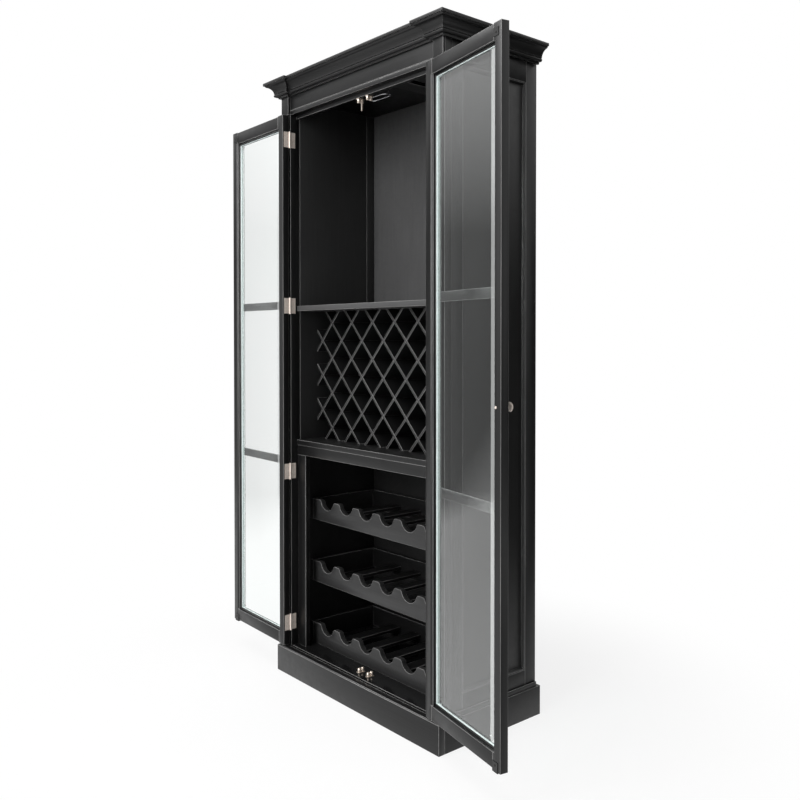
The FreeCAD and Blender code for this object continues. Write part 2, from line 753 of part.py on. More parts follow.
# Catches behind the closing edges, two on the floor and two under the stop: a base with a pair of rollers
def catch_body(seat_z, direction):
    front_y = door_inner_y + catch_gap
    low_x = catch_centre_x - catch_width / 2
    base_end_z = seat_z + direction.z * catch_base_height
    low_z = min(seat_z, base_end_z)
    high_z = max(seat_z, base_end_z)
    catch = box(low_x, low_x + catch_width, front_y, front_y + catch_depth, low_z, high_z)
    for roller_y in (front_y + catch_roller_radius, front_y + catch_depth - catch_roller_radius):
        foot = FreeCAD.Vector(catch_centre_x, roller_y, seat_z)
        roller = flat_sided_rod(catch_roller_radius, catch_roller_sides, foot, direction, catch_height)
        end_z = seat_z + direction.z * catch_height
        rim = [edge for edge in roller.Edges if abs(edge.CenterOfMass.z - end_z) < edge_find_tolerance]
        catch = catch.fuse(roller.makeChamfer(catch_roller_chamfer, rim))
    return catch.removeSplitter()


def build_catches():
    catches = pair(catch_body(floor_z, up))
    stop_low_z = frieze_lower_z - top_stop_drop
    catches += pair(catch_body(stop_low_z, -up))
    lever_high_z = stop_low_z - catch_height
    lever_front_y = door_inner_y + catch_gap + catch_depth - catch_roller_radius - catch_lever_thickness / 2
    lever_back_y = lever_front_y + catch_lever_thickness
    low_x = catch_centre_x - catch_lever_thickness / 2
    high_x = catch_centre_x + catch_lever_thickness / 2
    lever = box(low_x, high_x, lever_front_y, lever_back_y, lever_high_z - catch_lever_height, lever_high_z)
    catches.append(mirrored(lever))
    save(catches, "door_catches")


# One door, drawn closed on the right: frame members, muntins, bevelled glass, beads and fittings;
# the stiles are chamfered along the glass, and the chamfers stop at the rails
def door_stile(outer_x, inner_x):
    low_x = min(outer_x, inner_x)
    high_x = max(outer_x, inner_x)
    stile = box(low_x, high_x, post_face_y, door_inner_y, door_lower_z, door_upper_z)
    rabbet_x = inner_x
    wall_x = inner_x + door_rabbet_width
    chamfer_x = wall_x + door_chamfer_width
    if inner_x > outer_x:
        rabbet_x = inner_x - door_rabbet_width
        wall_x = rabbet_x
        chamfer_x = wall_x - door_chamfer_width
    rabbet_end_x = rabbet_x + door_rabbet_width
    rabbet = box(rabbet_x, rabbet_end_x, lip_back_y, door_inner_y, door_lower_z, door_upper_z)
    stop_low_z = door_lower_z + door_rail_width - door_rabbet_width
    stop_high_z = door_upper_z - door_rail_width + door_rabbet_width
    chamfer_y = door_inner_y - door_chamfer_depth
    corner = [(wall_x, door_inner_y), (chamfer_x, door_inner_y), (wall_x, chamfer_y)]
    return stile.cut([rabbet, plate_prism(corner, stop_low_z, stop_high_z)])


def door_rail(outer_z, inner_z):
    left_x = door_free_x + door_stile_width
    right_x = door_hinge_x - door_stile_width
    body_inner_z = inner_z + door_rabbet_width
    if inner_z > outer_z:
        body_inner_z = inner_z - door_rabbet_width
    lip = box(left_x, right_x, post_face_y, lip_back_y, min(outer_z, inner_z), max(outer_z, inner_z))
    body_left_x = left_x - door_rabbet_width
    body_right_x = right_x + door_rabbet_width
    body_low_z = min(outer_z, body_inner_z)
    body_high_z = max(outer_z, body_inner_z)
    body = box(body_left_x, body_right_x, lip_back_y, door_inner_y, body_low_z, body_high_z)
    return lip.fuse(body).removeSplitter()


def door_glass():
    clear = glass_clearance - door_rabbet_width
    low_x = door_free_x + door_stile_width + clear
    high_x = door_hinge_x - door_stile_width - clear
    low_z = door_lower_z + door_rail_width + clear
    high_z = door_upper_z - door_rail_width - clear
    face_y = lip_back_y + glass_thickness
    bevel_y = face_y - glass_bevel_depth
    sheet = box(low_x, high_x, lip_back_y, bevel_y, low_z, high_z)

    def rim(y, shrink):
        corners = [
            FreeCAD.Vector(low_x + shrink, y, low_z + shrink),
            FreeCAD.Vector(high_x - shrink, y, low_z + shrink),
            FreeCAD.Vector(high_x - shrink, y, high_z - shrink),
            FreeCAD.Vector(low_x + shrink, y, high_z - shrink),
        ]
        return Part.makePolygon(corners + corners[:1])

    bevel = Part.makeLoft([rim(bevel_y, 0), rim(face_y, glass_bevel_width)], True, True)
    return sheet.fuse(bevel).removeSplitter()


def eased_bead(bead, middle):
    edges = [edge for edge in bead.Edges if edge.CenterOfMass.distanceToPoint(middle) < edge_find_tolerance]
    return bead.makeChamfer(glass_bead_chamfer, edges)


def door_beads():
    low_x = door_free_x + door_stile_width - door_rabbet_width
    high_x = door_hinge_x - door_stile_width + door_rabbet_width
    low_z = door_lower_z + door_rail_width - door_rabbet_width
    high_z = door_upper_z - door_rail_width + door_rabbet_width
    bevel_slope = glass_bevel_depth / glass_bevel_width
    bevel_rise = bevel_slope * (glass_bead_width - glass_clearance)
    front_y = lip_back_y + glass_thickness - glass_bevel_depth + bevel_rise
    tail_y = front_y + glass_bead_thickness
    width = glass_bead_width
    upright_low = box(low_x, low_x + width, front_y, tail_y, low_z, high_z)
    upright_high = box(high_x - width, high_x, front_y, tail_y, low_z, high_z)
    level_low = box(low_x + width, high_x - width, front_y, tail_y, low_z, low_z + width)
    level_high = box(low_x + width, high_x - width, front_y, tail_y, high_z - width, high_z)
    middle_x = (low_x + high_x) / 2
    middle_z = (low_z + high_z) / 2
    return [
        eased_bead(upright_low, FreeCAD.Vector(low_x + width, tail_y, middle_z)),
        eased_bead(upright_high, FreeCAD.Vector(high_x - width, tail_y, middle_z)),
        eased_bead(level_low, FreeCAD.Vector(middle_x, tail_y, low_z + width)),
        eased_bead(level_high, FreeCAD.Vector(middle_x, tail_y, high_z - width)),
    ]


def door_knob():
    centre_x = door_free_x + knob_edge_distance
    neck_y = -knob_neck_height
    under_y = neck_y - knob_under_height
    rim_y = under_y - knob_rim_height
    tip_y = rim_y - knob_cap_height
    points = [
        FreeCAD.Vector(0, 0, 0),
        FreeCAD.Vector(knob_neck_radius, 0, 0),
        FreeCAD.Vector(knob_neck_radius, neck_y, 0),
        FreeCAD.Vector(knob_head_radius, under_y, 0),
        FreeCAD.Vector(knob_head_radius, rim_y, 0),
        FreeCAD.Vector(knob_face_radius, tip_y, 0),
        FreeCAD.Vector(0, tip_y, 0),
    ]
    face = Part.Face(Part.makePolygon(points + points[:1]))
    knob = face.revolve(FreeCAD.Vector(0, 0, 0), FreeCAD.Vector(0, 1, 0), full_turn_deg)
    knob.translate(FreeCAD.Vector(centre_x, post_face_y, knob_z))
    return knob


def screw_head(radius, sides, height, base):
    outline = ring_outline(radius, sides, base, FreeCAD.Vector(1, 0, 0), up)
    return Part.Face(outline).extrude(FreeCAD.Vector(0, height, 0))


def knob_screw():
    base = FreeCAD.Vector(door_free_x + knob_edge_distance, door_inner_y, knob_z)
    return screw_head(knob_screw_radius, knob_screw_sides, knob_screw_height, base)


def door_screws():
    leaf_high_x = door_hinge_x + hinge_leaf_thickness
    screws = []
    for centre_z in hinge_centres_z:
        screws += hinge_screws(centre_z, leaf_high_x, FreeCAD.Vector(1, 0, 0), door_screw_row_share)
    return screws


# Strike plates on the free stile: the lower one hooks under the stile's end, the upper one lies flat
def door_strikes():
    low_x = catch_centre_x - strike_width / 2
    tail_y = door_inner_y + strike_thickness
    low_z = door_lower_z + strike_edge_gap
    lip_z = door_lower_z - strike_lip_thickness
    high_z = door_upper_z - top_stop_drop - strike_edge_gap
    flange = box(low_x, low_x + strike_width, door_inner_y, tail_y, lip_z, low_z + strike_height)
    lip_y = door_inner_y - strike_lip_depth
    lip = box(low_x, low_x + strike_width, lip_y, tail_y, lip_z, door_lower_z)
    lower = flange.fuse(lip).removeSplitter()
    upper = box(low_x, low_x + strike_width, door_inner_y, tail_y, high_z - strike_height, high_z)
    pieces = [lower, upper]
    for screw_z in (low_z + strike_screw_set, high_z - strike_screw_set):
        seat = FreeCAD.Vector(catch_centre_x, tail_y, screw_z)
        pieces.append(screw_head(strike_screw_radius, strike_screw_sides, strike_screw_height, seat))
    return pieces


def door_pieces():
    muntins = []
    low_x = door_free_x + door_stile_width
    high_x = door_hinge_x - door_stile_width
    for share in (lower_muntin_share, upper_muntin_share):
        low_z = door_lower_z + door_height * share - muntin_height / 2
        muntins.append(box(low_x, high_x, post_face_y, lip_back_y, low_z, low_z + muntin_height))
    leaf_high_x = door_hinge_x + hinge_leaf_thickness
    leaves = [hinge_leaf(centre_z, door_hinge_x, leaf_high_x, (1,)) for centre_z in hinge_centres_z]
    bottom_rail = door_rail(door_lower_z + door_rail_set_in, door_lower_z + door_rail_width)
    top_rail = door_rail(door_upper_z - door_rail_set_in, door_upper_z - door_rail_width)
    return {
        "hinge_stile": [door_stile(door_hinge_x, door_hinge_x - door_stile_width)],
        "free_stile": [door_stile(door_free_x, door_free_x + door_stile_width)],
        "rails": [bottom_rail, top_rail],
        "muntins": muntins,
        "glass": [door_glass()],
        "glass_beads": door_beads(),
        "hinge_leaves": leaves,
        "screws": door_screws(),
        "strikes": door_strikes(),
    }


def opened_right(shape):
    turned = shape.copy()
    turned.rotate(FreeCAD.Vector(pin_x, pin_y, 0), up, right_door_open_deg)
    return turned


def opened_left(shape):
    turned = mirrored(shape)
    turned.rotate(FreeCAD.Vector(-pin_x, pin_y, 0), up, -left_door_open_deg)
    return turned


# Both doors stand open; only the right one has a knob
def build_doors():
    for part, shapes in door_pieces().items():
        save([opened_right(shape) for shape in shapes], "right_door_" + part)
        save([opened_left(shape) for shape in shapes], "left_door_" + part)
    save([opened_right(door_knob()), opened_right(knob_screw())], "right_door_knob")


os.makedirs("parts", exist_ok=True)
build_plinth()
build_front_frame()
build_crown()
build_case()
build_shelves()
build_lattice()
build_racks()
build_stemware()
build_frame_hinges()
build_catches()
build_doors()
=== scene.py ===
import json
import math

import bpy
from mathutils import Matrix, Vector

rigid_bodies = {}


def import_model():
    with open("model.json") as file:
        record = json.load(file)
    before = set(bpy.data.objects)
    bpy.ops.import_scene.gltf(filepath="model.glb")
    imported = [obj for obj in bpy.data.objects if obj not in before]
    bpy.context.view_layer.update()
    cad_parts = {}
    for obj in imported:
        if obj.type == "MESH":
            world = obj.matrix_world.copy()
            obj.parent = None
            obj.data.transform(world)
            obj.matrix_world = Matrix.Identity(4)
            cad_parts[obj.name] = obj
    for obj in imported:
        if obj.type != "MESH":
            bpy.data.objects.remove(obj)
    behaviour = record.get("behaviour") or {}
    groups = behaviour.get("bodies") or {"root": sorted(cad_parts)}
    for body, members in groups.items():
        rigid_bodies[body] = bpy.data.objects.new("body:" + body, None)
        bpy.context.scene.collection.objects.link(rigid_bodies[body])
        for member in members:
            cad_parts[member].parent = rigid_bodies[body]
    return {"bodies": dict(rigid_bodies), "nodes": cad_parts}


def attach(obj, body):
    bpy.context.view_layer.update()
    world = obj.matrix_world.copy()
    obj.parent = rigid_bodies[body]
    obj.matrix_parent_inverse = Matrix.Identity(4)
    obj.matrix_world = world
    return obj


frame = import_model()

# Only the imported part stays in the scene
frame_objects = list(frame["nodes"].values()) + list(frame["bodies"].values())
for stray in [o for o in bpy.data.objects if o not in frame_objects]:
    bpy.data.objects.remove(stray)
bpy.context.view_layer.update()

# Camera, from the photograph's 800 pixel frame
image_pixels = 800.0
focal_pixels = 858.711
principal_x = 410.558
principal_y = 352.154
camera_place = (2.32176, -1.94211, 1.24839)
camera_yaw_deg = 49.4139
camera_pitch_deg = -0.9437
level_view_deg = 90.0
sensor_width = 36.0

# Door angles as drawn, turned about +Z from closed
door_sides = ("left_door", "right_door")
left_door_turn_deg = -182.0
right_door_turn_deg = 168.0

# Slope of the lattice slats: half a cell across and half a cell up
lattice_half_width = 0.0610
lattice_half_height = 0.0654

# Noise patterns: their usual roughness, and the grey values that count as low and high
noise_roughness = 0.55
noise_low = 0.3
noise_high = 0.7

# Grain: the length and width of one streak, in metres, then larger patches, fine mottling and the relief
grain_length = 0.22
grain_width = 0.0028
streak_detail = 4.0
streak_roughness = 0.6
streak_low = 0.36
streak_high = 0.68
cloud_size = 0.35
cloud_detail = 2.0
cloud_tone = (0.82, 0.82, 0.82, 1.0)
mottle_scale = 45.0
mottle_detail = 3.0
grain_bump_strength = 0.4
grain_bump_height = 0.0001

# Paints: dark tone, pale tone and span of roughness
satin = (0.32, 0.40)
gloss = (0.10, 0.16)
black_tones = ((0.006, 0.006, 0.0061, 1.0), (0.010, 0.010, 0.0102, 1.0))
frame_look = (*black_tones, satin)
gloss_look = (*black_tones, gloss)
inner_look = ((0.020, 0.020, 0.0202, 1.0), (0.028, 0.028, 0.0283, 1.0), satin)
# A paler black; on the lattice slats' front faces it is painted light
front_look = ((0.021, 0.021, 0.0212, 1.0), (0.030, 0.030, 0.0303, 1.0), satin)
shelf_look = ((0.054, 0.054, 0.0545, 1.0), (0.074, 0.074, 0.0747, 1.0), satin)
panel_look = ((0.060, 0.060, 0.0605, 1.0), (0.080, 0.080, 0.0807, 1.0), (0.42, 0.55))
# Edge paint on the rounded edges: paler than the black, partly wear and partly a painted highlight
edge_wear_and_highlight_look = ((0.120, 0.119, 0.118, 1.0), (0.270, 0.267, 0.264, 1.0), (0.26, 0.36))
white = (1.0, 1.0, 1.0, 1.0)

# How much the paints shine
paint_shine = 0.38
slat_side_shine = 0.15
gloss_shine = 0.18

# Shade below the middle shelf: the share of the tone that is left, and the heights between which it changes
inner_painted_shade_share = 0.6
panel_painted_shade_share = 0.2
shelf_heights = (1.352, 1.366)

# Edges: their rounding, and the limits for flat stretches, splits in the mesh and smooth shading
edge_width = 0.0012
fine_edge_width = 0.0006
edge_segments = 2
edge_limit_deg = 40.0
flat_limit_deg = 0.4
weld_distance = 0.00002
faces_at_edge = 2
corner_smooth_deg = 30.0
round_smooth_deg = 65.0
pane_smooth_deg = 1.0

# Places of the second and third material on a piece, and how squarely a front face points to the front
edge_wear_and_highlight_place = 1
screw_place = 1
front_place = 2
front_limit = 0.9

# Metals and the clear seal: dark tone, pale tone, span of roughness and how metallic
nickel_look = ((0.74, 0.64, 0.56, 1.0), (0.90, 0.81, 0.74, 1.0), (0.36, 0.48), 0.3)
rosy_look = ((0.62, 0.53, 0.45, 1.0), (0.82, 0.73, 0.64, 1.0), (0.22, 0.34), 0.7)
wire_look = ((0.70, 0.71, 0.73, 1.0), (0.84, 0.85, 0.87, 1.0), (0.08, 0.16), 1.0)
bronze_look = ((0.020, 0.019, 0.018, 1.0), (0.045, 0.043, 0.041, 1.0), (0.35, 0.5), 1.0)
seal_look = ((0.62, 0.71, 0.70, 1.0), (0.74, 0.82, 0.81, 1.0), (0.25, 0.38), 0.0)
tarnish_scale = 160.0
tarnish_detail = 3.0
brushing_scale = 900.0
brushing_detail = 2.0
brushing_bump_strength = 0.15
brushing_bump_height = 0.0001

# Pane glass
glass_low_tint = (0.955, 0.985, 0.975, 1.0)
glass_high_tint = (0.975, 0.995, 0.988, 1.0)
glass_shadow_tint = (0.9, 0.92, 0.91, 1.0)
glass_roughness = (0.0, 0.006)
glass_index = 1.7
haze_scale = 3.0
haze_detail = 2.0

# Upright bevels of the panes: reach from the pane's edge, and how they mirror
bevel_reach = 0.031
bevel_blur = 0.001
bevel_tilt = 0.10
bevel_mirror = 0.5
bevel_roughness = 0.03

# Glazing seal: the beads' width, then the seal's width at the sides and at the top and bottom,
# its height on the glass and its depth in the bevel
bead_width = 0.007
seal_width = 0.0035
seal_level_width = 0.0015
seal_height = 0.004
seal_sink = 0.0002
box_faces = ((0, 1, 3, 2), (4, 6, 7, 5), (0, 4, 5, 1), (2, 3, 7, 6), (0, 2, 6, 4), (1, 5, 7, 3))

# Strike plates: the screws' heights from the lowest and the highest point, in metres
strike_screw_rise = 0.018
strike_screw_drop = 0.012
strike_screw_reach = 0.0035

# Lamps
key_power = 175.0
key_size = (2.2, 3.2)
key_place = (0.3, -4.2, 2.6)
top_power = 90.0
top_size = (2.6, 2.6)
top_place = (-0.6, -1.3, 4.2)
aim_point = (0.0, 0.0, 1.05)

# A ray with fewer turns than this has made none
first_turn = 0.5

# Sky: its level as soft light, then where it is mirrored: at the left and right with the share left
# further back, in front, overhead from a start at the left and right, and in a bright patch at the right
sky_diffuse = 0.24
sky_side_levels = (0.24, 0.03)
sky_sides = (-0.6, 0.6)
sky_back_share = 0.25
sky_back_span = (-0.31, -0.24)
sky_front = 0.42
sky_front_span = (-0.50, -0.42)
sky_rise = 4.4
sky_rise_starts = (0.12, 0.20)
sky_rim = 0.95
sky_rim_direction = (0.90, 0.39, 0.20)
sky_rim_span = (0.92, 0.965)

# Floor, in metres: its size and tones, how it fades to white, and the painted light it glows with where it
# is mirrored: brighter at the left than at the right, in a pool at the front left and in a patch at the
# right
floor_half_size = 30.0
floor_tone = (0.90, 0.90, 0.90, 1.0)
floor_tone_low = (0.86, 0.86, 0.865, 1.0)
floor_noise_scale = 2.0
floor_noise_detail = 4.0
floor_lift = 0.84
floor_fade_span = (0.55, 1.5)
floor_side_levels = (0.24, 0.08)
floor_sides = (-1.5, 1.5)
floor_lit_centre = (-0.9, -0.8, 0.0)
floor_lit_span = (0.9, 3.0)
floor_rim = 0.9
floor_rim_centre = (2.9, 0.5, 0.0)
floor_rim_span = (0.9, 1.6)

# Sockets of the mix and compare nodes, which have a pair for each kind of value
mix_numbers = (2, 3)
mix_colours = (6, 7)
mixed_number = 0
mixed_colour = 2
compare_numbers = (0, 1)
compare_counts = (2, 3)


def add_node(tree, kind, settings=None, inputs=None):
    """A node with its settings, and its inputs set to a value or joined to a socket."""
    node = tree.nodes.new(kind)
    for key, value in (settings or {}).items():
        setattr(node, key, value)
    for key, value in (inputs or {}).items():
        if isinstance(value, bpy.types.NodeSocket):
            tree.links.new(value, node.inputs[key])
        else:
            node.inputs[key].default_value = value
    return node


def maths(tree, operation, *values, clamp=False):
    """The result of a sum on numbers, kept from 0 to 1 if asked."""
    settings = {"operation": operation, "use_clamp": clamp}
    return add_node(tree, "ShaderNodeMath", settings, dict(enumerate(values))).outputs["Value"]


def vector_maths(tree, operation, *values, output="Vector"):
    """The result of a sum on vectors: a vector, or a number if asked."""
    settings = {"operation": operation}
    return add_node(tree, "ShaderNodeVectorMath", settings, dict(enumerate(values))).outputs[output]


def vector_parts(tree, vector_socket):
    """The X, Y and Z of a vector."""
    return add_node(tree, "ShaderNodeSeparateXYZ", inputs={"Vector": vector_socket}).outputs


def mixed_values(tree, share, first, second):
    """The first number, with as much of the second as the share says."""
    inputs = {"Factor": share, mix_numbers[0]: first, mix_numbers[1]: second}
    return add_node(tree, "ShaderNodeMix", {"data_type": "FLOAT"}, inputs).outputs[mixed_number]


def multiplied(tree, first_socket, second_socket):
    """The product of two colours."""
    settings = {"data_type": "RGBA", "blend_type": "MULTIPLY"}
    inputs = {"Factor": 1.0, mix_colours[0]: first_socket, mix_colours[1]: second_socket}
    return add_node(tree, "ShaderNodeMix", settings, inputs).outputs[mixed_colour]


def noise(tree, vector_socket, scale, detail, roughness=noise_roughness):
    """The grey value of a noise pattern."""
    inputs = {"Vector": vector_socket, "Scale": scale, "Detail": detail, "Roughness": roughness}
    return add_node(tree, "ShaderNodeTexNoise", inputs=inputs).outputs["Fac"]


def ramp(tree, value_socket, low_colour, high_colour, low=noise_low, high=noise_high):
    """A colour that goes from low_colour to high_colour between two grey values."""
    node = add_node(tree, "ShaderNodeValToRGB", inputs={"Fac": value_socket})
    first, last = node.color_ramp.elements
    first.position = low
    first.color = low_colour
    last.position = high
    last.color = high_colour
    return node.outputs["Color"]


def spread(tree, value_socket, span, low=noise_low, high=noise_high, curve="LINEAR"):
    """A number between low and high, stretched to the span."""
    inputs = {
        "Value": value_socket,
        "From Min": low,
        "From Max": high,
        "To Min": span[0],
        "To Max": span[1],
    }
    return add_node(tree, "ShaderNodeMapRange", {"interpolation_type": curve}, inputs).outputs["Result"]


def bumped(tree, height_socket, strength, height):
    """The normal of a surface with a fine relief."""
    inputs = {"Strength": strength, "Distance": height, "Height": height_socket}
    return add_node(tree, "ShaderNodeBump", inputs=inputs).outputs["Normal"]


def object_place(tree):
    """The point on the piece, in metres."""
    return add_node(tree, "ShaderNodeTexCoord").outputs["Object"]


def along_grain(tree, direction):
    """Coordinates in streaks that run along the direction."""
    turn = Vector((1, 0, 0)).rotation_difference(Vector(direction)).to_euler()
    inputs = {
        "Vector": object_place(tree),
        "Rotation": turn,
        "Scale": (grain_length, grain_width, grain_width),
    }
    return add_node(tree, "ShaderNodeMapping", {"vector_type": "TEXTURE"}, inputs).outputs["Vector"]


def principled(tree, inputs):
    """The general shader for paint, metal and glass."""
    return add_node(tree, "ShaderNodeBsdfPrincipled", inputs=inputs).outputs["BSDF"]


def white_glow(tree, strength):
    """A shader that gives off white light."""
    inputs = {"Color": white, "Strength": strength}
    return add_node(tree, "ShaderNodeEmission", inputs=inputs).outputs["Emission"]


def mixed_shaders(tree, share, first, second):
    """The first shader, with as much of the second as the share says."""
    return add_node(tree, "ShaderNodeMixShader", inputs={0: share, 1: first, 2: second}).outputs["Shader"]


def new_material(name):
    """An empty material and its node tree."""
    made = bpy.data.materials.new(name)
    made.use_nodes = True
    made.node_tree.nodes.clear()
    return made, made.node_tree


def show(tree, shader_socket):
    """The shader becomes the material's surface."""
    add_node(tree, "ShaderNodeOutputMaterial", inputs={"Surface": shader_socket})


def painted_wood(name, direction, look, shine=paint_shine, painted_shade_share=None):
    """Paint over a fine open grain, a little uneven in tone; with painted shade below the middle shelf if
    asked.
    """
    dark, pale, roughness_span = look
    made, tree = new_material(name)
    streaks = noise(tree, along_grain(tree, direction), 1.0, streak_detail, streak_roughness)
    clouds = noise(tree, object_place(tree), 1.0 / cloud_size, cloud_detail)
    mottle = noise(tree, object_place(tree), mottle_scale, mottle_detail)
    streak_colour = ramp(tree, streaks, dark, pale, streak_low, streak_high)
    cloud_colour = ramp(tree, clouds, cloud_tone, white)
    colour = multiplied(tree, streak_colour, cloud_colour)
    if painted_shade_share is not None:
        # Painted shade: the colour is darker below the middle shelf
        height = vector_parts(tree, object_place(tree))["Z"]
        colour = multiplied(tree, colour, spread(tree, height, (painted_shade_share, 1.0), *shelf_heights))
    inputs = {
        "Base Color": colour,
        "Roughness": spread(tree, mottle, roughness_span),
        "Specular IOR Level": shine,
        "Normal": bumped(tree, streaks, grain_bump_strength, grain_bump_height),
    }
    show(tree, principled(tree, inputs))
    return made


def smooth_finish(name, look):
    """Plated metal or clear plastic, with fine brushing and a slight tarnish."""
    dark, pale, roughness_span, metallic = look
    made, tree = new_material(name)
    place = object_place(tree)
    tarnish = noise(tree, place, tarnish_scale, tarnish_detail)
    brushing = noise(tree, place, brushing_scale, brushing_detail)
    inputs = {
        "Base Color": ramp(tree, tarnish, dark, pale),
        "Metallic": metallic,
        "Roughness": spread(tree, brushing, roughness_span),
        "Normal": bumped(tree, brushing, brushing_bump_strength, brushing_bump_height),
    }
    show(tree, principled(tree, inputs))
    return made


def bevel_band(tree, piece, along):
    """1 on the outside of a pane's upright bevels, and the normal there, tilted outward."""
    along = Vector(along)
    reach = [(piece.matrix_world @ vertex.co).dot(along) for vertex in piece.data.vertices]
    low_edge = min(reach) + bevel_reach
    high_edge = max(reach) - bevel_reach
    place = vector_maths(tree, "DOT_PRODUCT", object_place(tree), along, output="Value")
    low_side = spread(tree, place, (1.0, 0.0), low_edge, low_edge + bevel_blur)
    high_side = spread(tree, place, (0.0, 1.0), high_edge - bevel_blur, high_edge)
    band = maths(tree, "ADD", low_side, high_side)
    lean = maths(tree, "SUBTRACT", high_side, low_side)
    outward = add_node(
        tree,
        "ShaderNodeVectorTransform",
        {"vector_type": "VECTOR", "convert_from": "OBJECT", "convert_to": "WORLD"},
        {"Vector": along * bevel_tilt},
    ).outputs["Vector"]
    offset = add_node(
        tree,
        "ShaderNodeVectorMath",
        {"operation": "SCALE"},
        {0: outward, "Scale": lean},
    ).outputs["Vector"]
    surface = add_node(tree, "ShaderNodeNewGeometry").outputs
    outside = maths(tree, "SUBTRACT", band, surface["Backfacing"], clamp=True)
    leaning = vector_maths(tree, "ADD", surface["Normal"], offset)
    return outside, vector_maths(tree, "NORMALIZE", leaning)


def clear_glass(side, along):
    """Clear pane glass with brighter bevels; it lets light through to what is behind."""
    made, tree = new_material("pane_glass_" + side)
    haze = noise(tree, object_place(tree), haze_scale, haze_detail)
    tint = ramp(tree, haze, glass_low_tint, glass_high_tint)
    inputs = {
        "Base Color": tint,
        "Roughness": spread(tree, haze, glass_roughness),
        "IOR": glass_index,
        "Transmission Weight": 1.0,
    }
    glass = principled(tree, inputs)
    band, normal = bevel_band(tree, frame["nodes"][side + "_glass"], along)
    inputs = {"Color": tint, "Roughness": bevel_roughness, "Normal": normal}
    mirror = add_node(tree, "ShaderNodeBsdfAnisotropic", inputs=inputs).outputs["BSDF"]
    pane = mixed_shaders(tree, maths(tree, "MULTIPLY", band, bevel_mirror), glass, mirror)
    inputs = {"Color": glass_shadow_tint}
    passing = add_node(tree, "ShaderNodeBsdfTransparent", inputs=inputs).outputs["BSDF"]
    path = add_node(tree, "ShaderNodeLightPath").outputs
    show(tree, mixed_shaders(tree, path["Is Shadow Ray"], pane, passing))
    return made


def ray_kinds(tree):
    """1 for rays that look straight at a thing, through glass or not; and 1 for rays that mirror it."""
    path = add_node(tree, "ShaderNodeLightPath").outputs
    turns = maths(tree, "ADD", path["Glossy Depth"], path["Diffuse Depth"])
    straight = maths(tree, "LESS_THAN", turns, first_turn)
    through = maths(tree, "MULTIPLY", path["Is Transmission Ray"], straight)
    seen = maths(tree, "MAXIMUM", path["Is Camera Ray"], through)
    bounced = maths(tree, "MAXIMUM", path["Is Glossy Ray"], path["Is Transmission Ray"])
    return seen, maths(tree, "SUBTRACT", bounced, seen, clamp=True)


def floor_material():
    """A pale floor, fading to white where it is looked at; where it is mirrored it glows with painted
    light, brighter at the left and in front, in a pool at the front left and in a patch at the right.
    """
    made, tree = new_material("pale_floor")
    place = object_place(tree)
    patches = noise(tree, place, floor_noise_scale, floor_noise_detail)
    tone = ramp(tree, patches, floor_tone_low, floor_tone)
    matte = add_node(tree, "ShaderNodeBsdfDiffuse", inputs={"Color": tone}).outputs["BSDF"]
    reach = vector_maths(tree, "LENGTH", place, output="Value")
    fade = spread(tree, reach, (floor_lift, 1.0), *floor_fade_span, curve="SMOOTHSTEP")
    seen, mirrored = ray_kinds(tree)
    share = maths(tree, "MULTIPLY", fade, seen)
    looked_at = mixed_shaders(tree, share, matte, white_glow(tree, 1.0))
    # Painted light where the floor is mirrored: levels by side and front, a pool at the front left and a
    # patch at the right
    sides = spread(tree, vector_parts(tree, place)["X"], floor_side_levels, *floor_sides)
    heading = vector_parts(tree, vector_maths(tree, "NORMALIZE", place))
    front = spread(tree, heading["Y"], (sky_front, 0.0), *sky_front_span)
    rim_reach = vector_maths(tree, "DISTANCE", place, floor_rim_centre, output="Value")
    rim = spread(tree, rim_reach, (floor_rim, 0.0), *floor_rim_span)
    lit_reach = vector_maths(tree, "DISTANCE", place, floor_lit_centre, output="Value")
    lit = spread(tree, lit_reach, (1.0, 0.0), *floor_lit_span)
    side_glow = maths(tree, "ADD", rim, maths(tree, "ADD", sides, front))
    glow = maths(tree, "ADD", lit, side_glow, clamp=True)
    show(tree, mixed_shaders(tree, mirrored, looked_at, white_glow(tree, glow)))
    return made


def geometry_group(name):
    """An empty group of geometry nodes, and the mesh that comes in."""
    group = bpy.data.node_groups.new(name, "GeometryNodeTree")
    for way in ("INPUT", "OUTPUT"):
        group.interface.new_socket("Geometry", in_out=way, socket_type="NodeSocketGeometry")
    return group, add_node(group, "NodeGroupInput").outputs["Geometry"]


def smooth_group(name, limit_deg):
    """Geometry nodes that round off the shading between faces that meet at less than the limit."""
    group, entry = geometry_group(name)
    plain = add_node(
        group,
        "GeometryNodeRemoveAttribute",
        inputs={"Geometry": entry, "Name": "custom_normal"},
    ).outputs["Geometry"]
    smooth = add_node(
        group,
        "GeometryNodeSetShadeSmooth",
        {"domain": "FACE"},
        {"Geometry": plain, "Shade Smooth": True},
    ).outputs["Geometry"]
    angle = add_node(group, "GeometryNodeInputMeshEdgeAngle").outputs["Unsigned Angle"]
    sharp = add_node(
        group,
        "FunctionNodeCompare",
        {"data_type": "FLOAT", "operation": "GREATER_THAN"},
        {compare_numbers[0]: angle, compare_numbers[1]: math.radians(limit_deg)},
    ).outputs["Result"]
    creased = add_node(
        group,
        "GeometryNodeSetShadeSmooth",
        {"domain": "EDGE"},
        {"Geometry": smooth, "Selection": sharp, "Shade Smooth": False},
    ).outputs["Geometry"]
    add_node(group, "NodeGroupOutput", inputs={"Geometry": creased})
    return group


